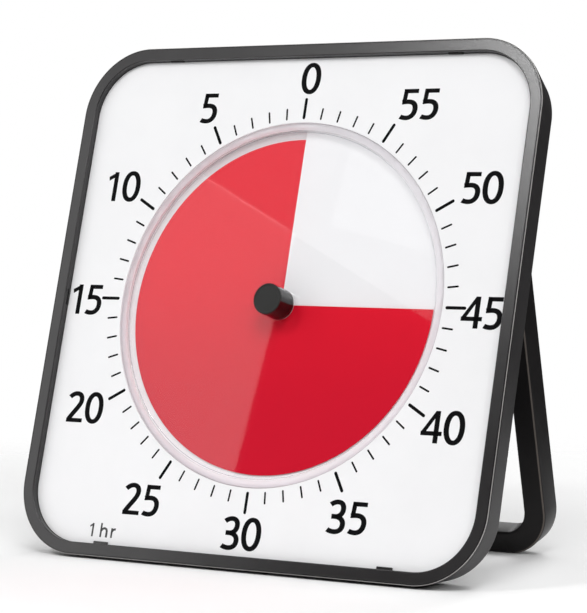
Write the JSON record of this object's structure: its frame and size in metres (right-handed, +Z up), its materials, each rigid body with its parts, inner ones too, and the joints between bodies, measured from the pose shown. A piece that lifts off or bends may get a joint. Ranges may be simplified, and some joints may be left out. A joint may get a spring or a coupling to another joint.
{
  "type": "visual countdown timer",
  "caption": "Square classroom countdown timer: a red disc shows the time left behind a clear lens, set by a centre knob; it leans back on a folding loop stand.",
  "frame": {"origin": "on the table, under the middle of the timer's box with the stand open", "axes": "+Z up, -Y is the side the reader faces, +X to the reader's right; the dial leans back 16 degrees"},
  "size_m": [0.431, 0.2314, 0.4171],
  "materials": {
    "charcoal_plastic": "fine satin texture",
    "stand_plastic": "satin",
    "dial_white": "smooth, printed in black and grey",
    "pan_white": "smooth",
    "sheet_white": "smooth",
    "clear_plastic": "polished clear",
    "disc_red": "smooth",
    "knob_black": "polished side, satin face",
    "steel": "plain",
    "zinc_steel": "zinc plated",
    "brass": "turned",
    "gear_plastic": "natural acetal",
    "dark_plastic": "plain",
    "board_green": "solder mask",
    "component_black": "plain",
    "switch_grey": "plain",
    "cell_jacket": "printed jacket left plain",
    "pad_rubber": "matt"
  },
  "bodies": {
    "housing": {"front_bezel": "charcoal_plastic", "dial_plate": "dial_white", "dial_pan": "pan_white", "lens": "clear_plastic", "white_sheet": "sheet_white", "spindle_bush": "brass", "idler_arbor": "steel", "motor": "zinc_steel", "movement_plate": "dark_plastic", "movement_case": "dark_plastic", "movement_screws": "steel", "pan_screws": "steel", "circuit_board": "board_green", "board_parts": "component_black", "buzzer": "component_black", "rear_cover": "charcoal_plastic", "cover_screws": "steel", "batteries": "cell_jacket", "battery_contacts": "steel", "stand_ears": "charcoal_plastic", "stand_pins": "steel", "body_pads": "pad_rubber"},
    "rotor": {"knob": "knob_black", "spindle": "steel", "main_wheel": "gear_plastic", "clutch_spring": "steel", "retaining_ring": "steel"},
    "disc": {"red_disc": "disc_red", "disc_hub": "pan_white"},
    "idler": {"idler_gear": "gear_plastic"},
    "motor_rotor": {"motor_pinion": "gear_plastic"},
    "folding_stand": {"stand": "stand_plastic", "stand_pads": "pad_rubber"},
    "door": {"battery_door": "charcoal_plastic"},
    "switch": {"sound_switch": "switch_grey"}
  },
  "joints": [
    {"name": "dial_turn", "type": "hinge", "parent": "housing", "child": "rotor", "pos_m": [0, -0.05056, 0.2083], "axis": [0, -0.9613, 0.2756], "range_deg": [-270, 90]},
    {"name": "disc_creep", "type": "slide", "parent": "rotor", "child": "disc", "axis": [0, -0.9613, 0.2756], "range_m": [-0.0018, 0.0006]},
    {"name": "idler_turn", "type": "hinge", "parent": "housing", "child": "idler", "pos_m": [0.0288, -0.05056, 0.2083], "axis": [0, -0.9613, 0.2756], "range_deg": [-450, 1350]},
    {"name": "motor_turn", "type": "hinge", "parent": "housing", "child": "motor_rotor", "pos_m": [0.0288, -0.04394, 0.23136], "axis": [0, -0.9613, 0.2756], "range_deg": [-5400, 1800]},
    {"name": "stand_fold", "type": "hinge", "parent": "housing", "child": "folding_stand", "pos_m": [0, 0.02805, 0.30612], "axis": [1, 0, 0], "range_deg": [-30, 0]},
    {"name": "door_pull", "type": "slide", "parent": "housing", "child": "door", "axis": [0, 0.9613, -0.2756], "range_m": [0, 0.012]},
    {"name": "sound_slide", "type": "slide", "parent": "housing", "child": "switch", "axis": [1, 0, 0], "range_m": [-0.004, 0.004]}
  ],
  "couplings": [
    {"joint": "disc_creep", "follows": "dial_turn", "m_per_rad": 0.00038197},
    {"joint": "idler_turn", "follows": "dial_turn", "ratio": -5},
    {"joint": "motor_turn", "follows": "dial_turn", "ratio": 20}
  ]
}
